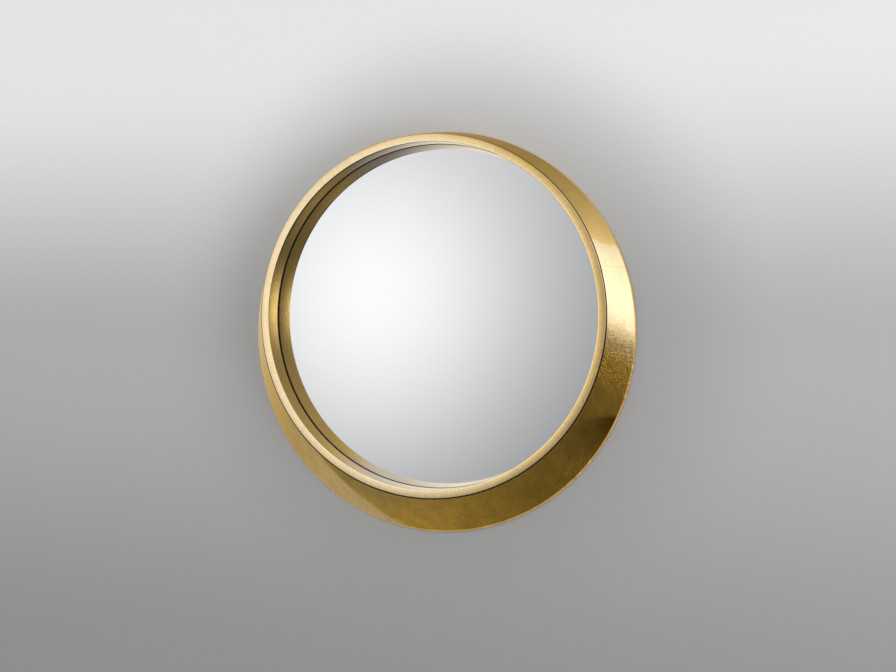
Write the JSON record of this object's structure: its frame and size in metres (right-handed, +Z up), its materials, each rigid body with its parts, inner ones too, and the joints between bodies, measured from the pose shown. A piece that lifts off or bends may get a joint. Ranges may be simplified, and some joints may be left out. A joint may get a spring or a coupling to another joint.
{
  "type": "convex wall mirror",
  "caption": "Round convex wall mirror in a deep gilded frame whose flank is an oblique cone, wide below and narrow above, with a backing board held by turn buttons.",
  "frame": {"origin": "on the wall plane, half way between the entry holes of the two hanging keyholes", "axes": "+Z up, +X to the viewer's right, the mirror faces -Y and the wall is at y = 0; +Y points into the wall"},
  "size_m": [0.6, 0.057, 0.6],
  "materials": {
    "gilded_hoop": "metal leaf over gesso, satin",
    "gilded_flank": "metal leaf over gesso, satin, painted back",
    "dowel_wood": "plain",
    "black_tape": "matt foam tape",
    "black_rubber": "matt",
    "mirror_glass": "silvered glass",
    "packing_felt": "pressed felt",
    "board_wood": "hardboard, sealed",
    "button_steel": "zinc plated",
    "plate_steel": "brassed",
    "screw_steel": "zinc plated"
  },
  "bodies": {
    "frame": {"hoop": "gilded_hoop", "flank_front_segment_bottom": "gilded_flank", "flank_front_segment_right": "gilded_flank", "flank_front_segment_top": "gilded_flank", "flank_front_segment_left": "gilded_flank", "flank_middle_segment_bottom": "gilded_flank", "flank_middle_segment_right": "gilded_flank", "flank_middle_segment_top": "gilded_flank", "flank_middle_segment_left": "gilded_flank", "flank_rear_segment_bottom": "gilded_flank", "flank_rear_segment_right": "gilded_flank", "flank_rear_segment_top": "gilded_flank", "flank_rear_segment_left": "gilded_flank", "front_dowels": "dowel_wood", "rear_dowels": "dowel_wood", "glass_spacer_tape": "black_tape", "convex_glass": "mirror_glass", "setting_blocks": "black_rubber", "packing_ring": "packing_felt", "backing_board": "board_wood", "turn_button_screws": "screw_steel", "keyhole_plate_left": "plate_steel", "keyhole_plate_right": "plate_steel", "keyhole_plate_screws": "screw_steel"},
    "turn_button_1": {"turn_button_1": "button_steel"},
    "turn_button_2": {"turn_button_2": "button_steel"},
    "turn_button_3": {"turn_button_3": "button_steel"},
    "turn_button_4": {"turn_button_4": "button_steel"},
    "turn_button_5": {"turn_button_5": "button_steel"},
    "turn_button_6": {"turn_button_6": "button_steel"}
  },
  "joints": [
    {"name": "turn_button_1_pivot", "type": "hinge", "parent": "frame", "child": "turn_button_1", "pos_m": [-0.19269, -0.00425, 0.15469], "axis": [0, 1, 0], "range_deg": [0, 90]},
    {"name": "turn_button_2_pivot", "type": "hinge", "parent": "frame", "child": "turn_button_2", "pos_m": [-0.26915, -0.00425, -0.08063], "axis": [0, 1, 0], "range_deg": [0, 90]},
    {"name": "turn_button_3_pivot", "type": "hinge", "parent": "frame", "child": "turn_button_3", "pos_m": [-0.12371, -0.00425, -0.2808], "axis": [0, 1, 0], "range_deg": [0, 90]},
    {"name": "turn_button_4_pivot", "type": "hinge", "parent": "frame", "child": "turn_button_4", "pos_m": [0.12371, -0.00425, -0.2808], "axis": [0, -1, 0], "range_deg": [0, 90]},
    {"name": "turn_button_5_pivot", "type": "hinge", "parent": "frame", "child": "turn_button_5", "pos_m": [0.26915, -0.00425, -0.08063], "axis": [0, -1, 0], "range_deg": [0, 90]},
    {"name": "turn_button_6_pivot", "type": "hinge", "parent": "frame", "child": "turn_button_6", "pos_m": [0.19269, -0.00425, 0.15469], "axis": [0, -1, 0], "range_deg": [0, 90]}
  ]
}
